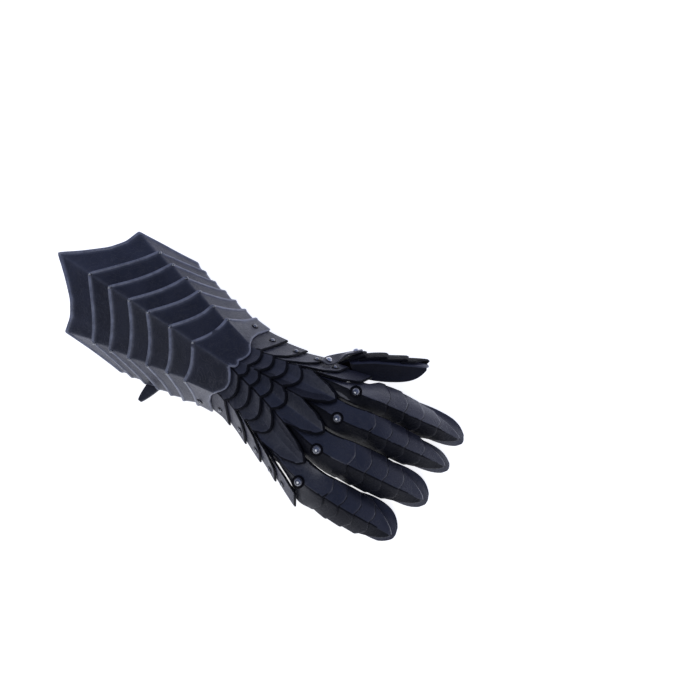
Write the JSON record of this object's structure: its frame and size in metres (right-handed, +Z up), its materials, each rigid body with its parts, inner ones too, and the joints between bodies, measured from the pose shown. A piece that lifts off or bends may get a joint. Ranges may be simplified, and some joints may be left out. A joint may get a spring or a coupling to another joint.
{
  "type": "armoured gauntlet",
  "caption": "Right-hand plate gauntlet of black leather: flared lamed cuff, scaled hand back, ridged knuckle plates, lamed fingers and thumb, lying palm down.",
  "frame": {"origin": "on the table under the middle of the gauntlet's bounding box", "axes": "+X towards the finger tips, +Y towards the thumb, +Z up from the table the gauntlet lies on, palm down"},
  "size_m": [0.4264, 0.201, 0.0872],
  "materials": {
    "lame_leather": "satin black leather, burnished edges",
    "tongue_leather": "matt dark leather",
    "strap_leather": "satin black strap leather",
    "gunmetal": "blackened steel",
    "bright_steel": "polished steel"
  },
  "bodies": {
    "root": {"cuff_buckle": "bright_steel", "cuff_lame_1": "lame_leather", "cuff_lame_2": "lame_leather", "cuff_lame_3": "lame_leather", "cuff_lame_4": "lame_leather", "cuff_lame_5": "lame_leather", "cuff_strap": "strap_leather", "hand_lame_1": "lame_leather", "hand_lame_2": "lame_leather", "hand_lame_3": "lame_leather", "hand_lame_4": "lame_leather", "hand_lame_5": "lame_leather", "index_lame_1": "lame_leather", "index_lame_2": "lame_leather", "index_lame_3": "lame_leather", "index_lame_4": "lame_leather", "knuckle_index": "lame_leather", "knuckle_little": "lame_leather", "knuckle_middle": "lame_leather", "knuckle_ring": "lame_leather", "link_rivet_hand": "bright_steel", "link_rivet_thumb": "bright_steel", "little_lame_1": "lame_leather", "little_lame_2": "lame_leather", "little_lame_3": "lame_leather", "little_lame_4": "lame_leather", "middle_lame_1": "lame_leather", "middle_lame_2": "lame_leather", "middle_lame_3": "lame_leather", "middle_lame_4": "lame_leather", "mouth_lame": "lame_leather", "palm_strap": "strap_leather", "ring_lame_1": "lame_leather", "ring_lame_2": "lame_leather", "ring_lame_3": "lame_leather", "ring_lame_4": "lame_leather", "rivet_index": "gunmetal", "rivet_little": "gunmetal", "rivet_middle": "gunmetal", "rivet_ring": "gunmetal", "thumb_base": "lame_leather", "thumb_lame_1": "lame_leather", "thumb_lame_2": "lame_leather", "thumb_lame_3": "lame_leather", "thumb_link": "strap_leather", "tongue_index": "tongue_leather", "tongue_little": "tongue_leather", "tongue_middle": "tongue_leather", "tongue_ring": "tongue_leather", "tongue_thumb": "tongue_leather", "wrist_lame": "lame_leather"}
  },
  "joints": []
}
